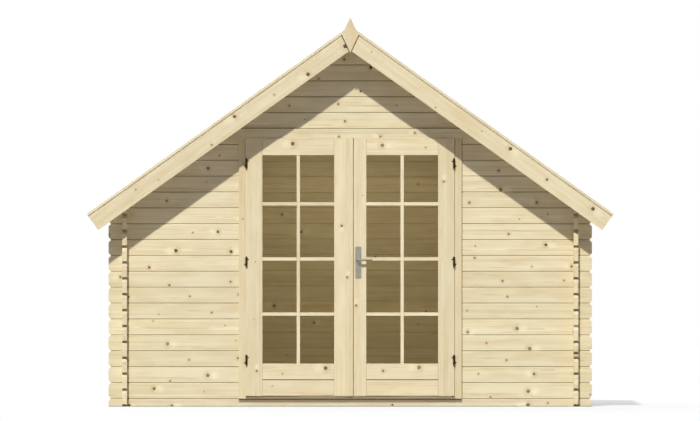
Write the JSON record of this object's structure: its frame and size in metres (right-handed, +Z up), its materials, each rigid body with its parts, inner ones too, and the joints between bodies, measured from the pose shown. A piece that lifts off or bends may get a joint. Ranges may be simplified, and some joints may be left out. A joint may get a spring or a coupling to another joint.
{
  "type": "log summerhouse",
  "caption": "Square-log timber summerhouse with interlocking corners, a steep gabled board roof, bargeboards, a lozenge finial and glazed double doors with a lever handle.",
  "frame": {"origin": "on the ground, at the middle of the roof's outline seen from above", "axes": "+X to the right along the front, +Y from the front to the back, +Z up"},
  "size_m": [3.81, 3.48, 2.815],
  "materials": {
    "wall_spruce": "planed, untreated spruce logs with small dark knots",
    "roof_spruce": "planed, untreated spruce boards and purlins",
    "trim_spruce": "planed, untreated spruce trim",
    "door_spruce": "planed, untreated glued spruce joinery",
    "floor_timber": "planed, untreated spruce floor boards on bearers",
    "threshold_hardwood": "oiled hardwood",
    "door_glass": "clear float glass",
    "hinge_iron": "dark bronzed steel",
    "handle_metal": "satin grey aluminium"
  },
  "bodies": {
    "house": {"floor_bearers": "floor_timber", "floor": "floor_timber", "front_bottom_log": "wall_spruce", "front_wall_left": "wall_spruce", "front_wall_right": "wall_spruce", "front_gable": "wall_spruce", "back_wall": "wall_spruce", "back_gable": "wall_spruce", "left_wall": "wall_spruce", "right_wall": "wall_spruce", "ridge_purlin": "roof_spruce", "left_purlin": "roof_spruce", "right_purlin": "roof_spruce", "roof_left": "roof_spruce", "roof_right": "roof_spruce", "left_eaves_batten": "roof_spruce", "right_eaves_batten": "roof_spruce", "front_left_bargeboard": "trim_spruce", "front_right_bargeboard": "trim_spruce", "back_left_bargeboard": "trim_spruce", "back_right_bargeboard": "trim_spruce", "front_finial": "trim_spruce", "back_finial": "trim_spruce", "door_post_left": "door_spruce", "door_post_right": "door_spruce", "door_head": "door_spruce", "threshold": "threshold_hardwood", "frame_hinges_left": "hinge_iron", "frame_hinges_right": "hinge_iron"},
    "left_door": {"left_door_hinge_stile": "door_spruce", "left_door_meeting_stile": "door_spruce", "left_door_cover_strip": "door_spruce", "left_door_top_rail": "door_spruce", "left_door_bottom_rail": "door_spruce", "left_door_glass": "door_glass", "left_door_hinges": "hinge_iron"},
    "right_door": {"right_door_hinge_stile": "door_spruce", "right_door_meeting_stile": "door_spruce", "right_door_top_rail": "door_spruce", "right_door_bottom_rail": "door_spruce", "right_door_glass": "door_glass", "right_door_hinges": "hinge_iron", "handle_plates": "handle_metal"},
    "lever": {"lever_outside": "handle_metal", "lever_inside": "handle_metal"}
  },
  "joints": [
    {"name": "left_door_swing", "type": "hinge", "parent": "house", "child": "left_door", "pos_m": [-0.7515, -1.4862, 1], "axis": [0, 0, -1], "range_deg": [0, 105]},
    {"name": "right_door_swing", "type": "hinge", "parent": "house", "child": "right_door", "pos_m": [0.7515, -1.4862, 1], "axis": [0, 0, 1], "range_deg": [0, 105]},
    {"name": "lever_turn", "type": "hinge", "parent": "right_door", "child": "lever", "pos_m": [0.058, -1.458, 1.062], "axis": [0, 1, 0], "range_deg": [0, 40], "stiffness_Nm_per_rad": 1, "springref_deg": -20.05}
  ]
}
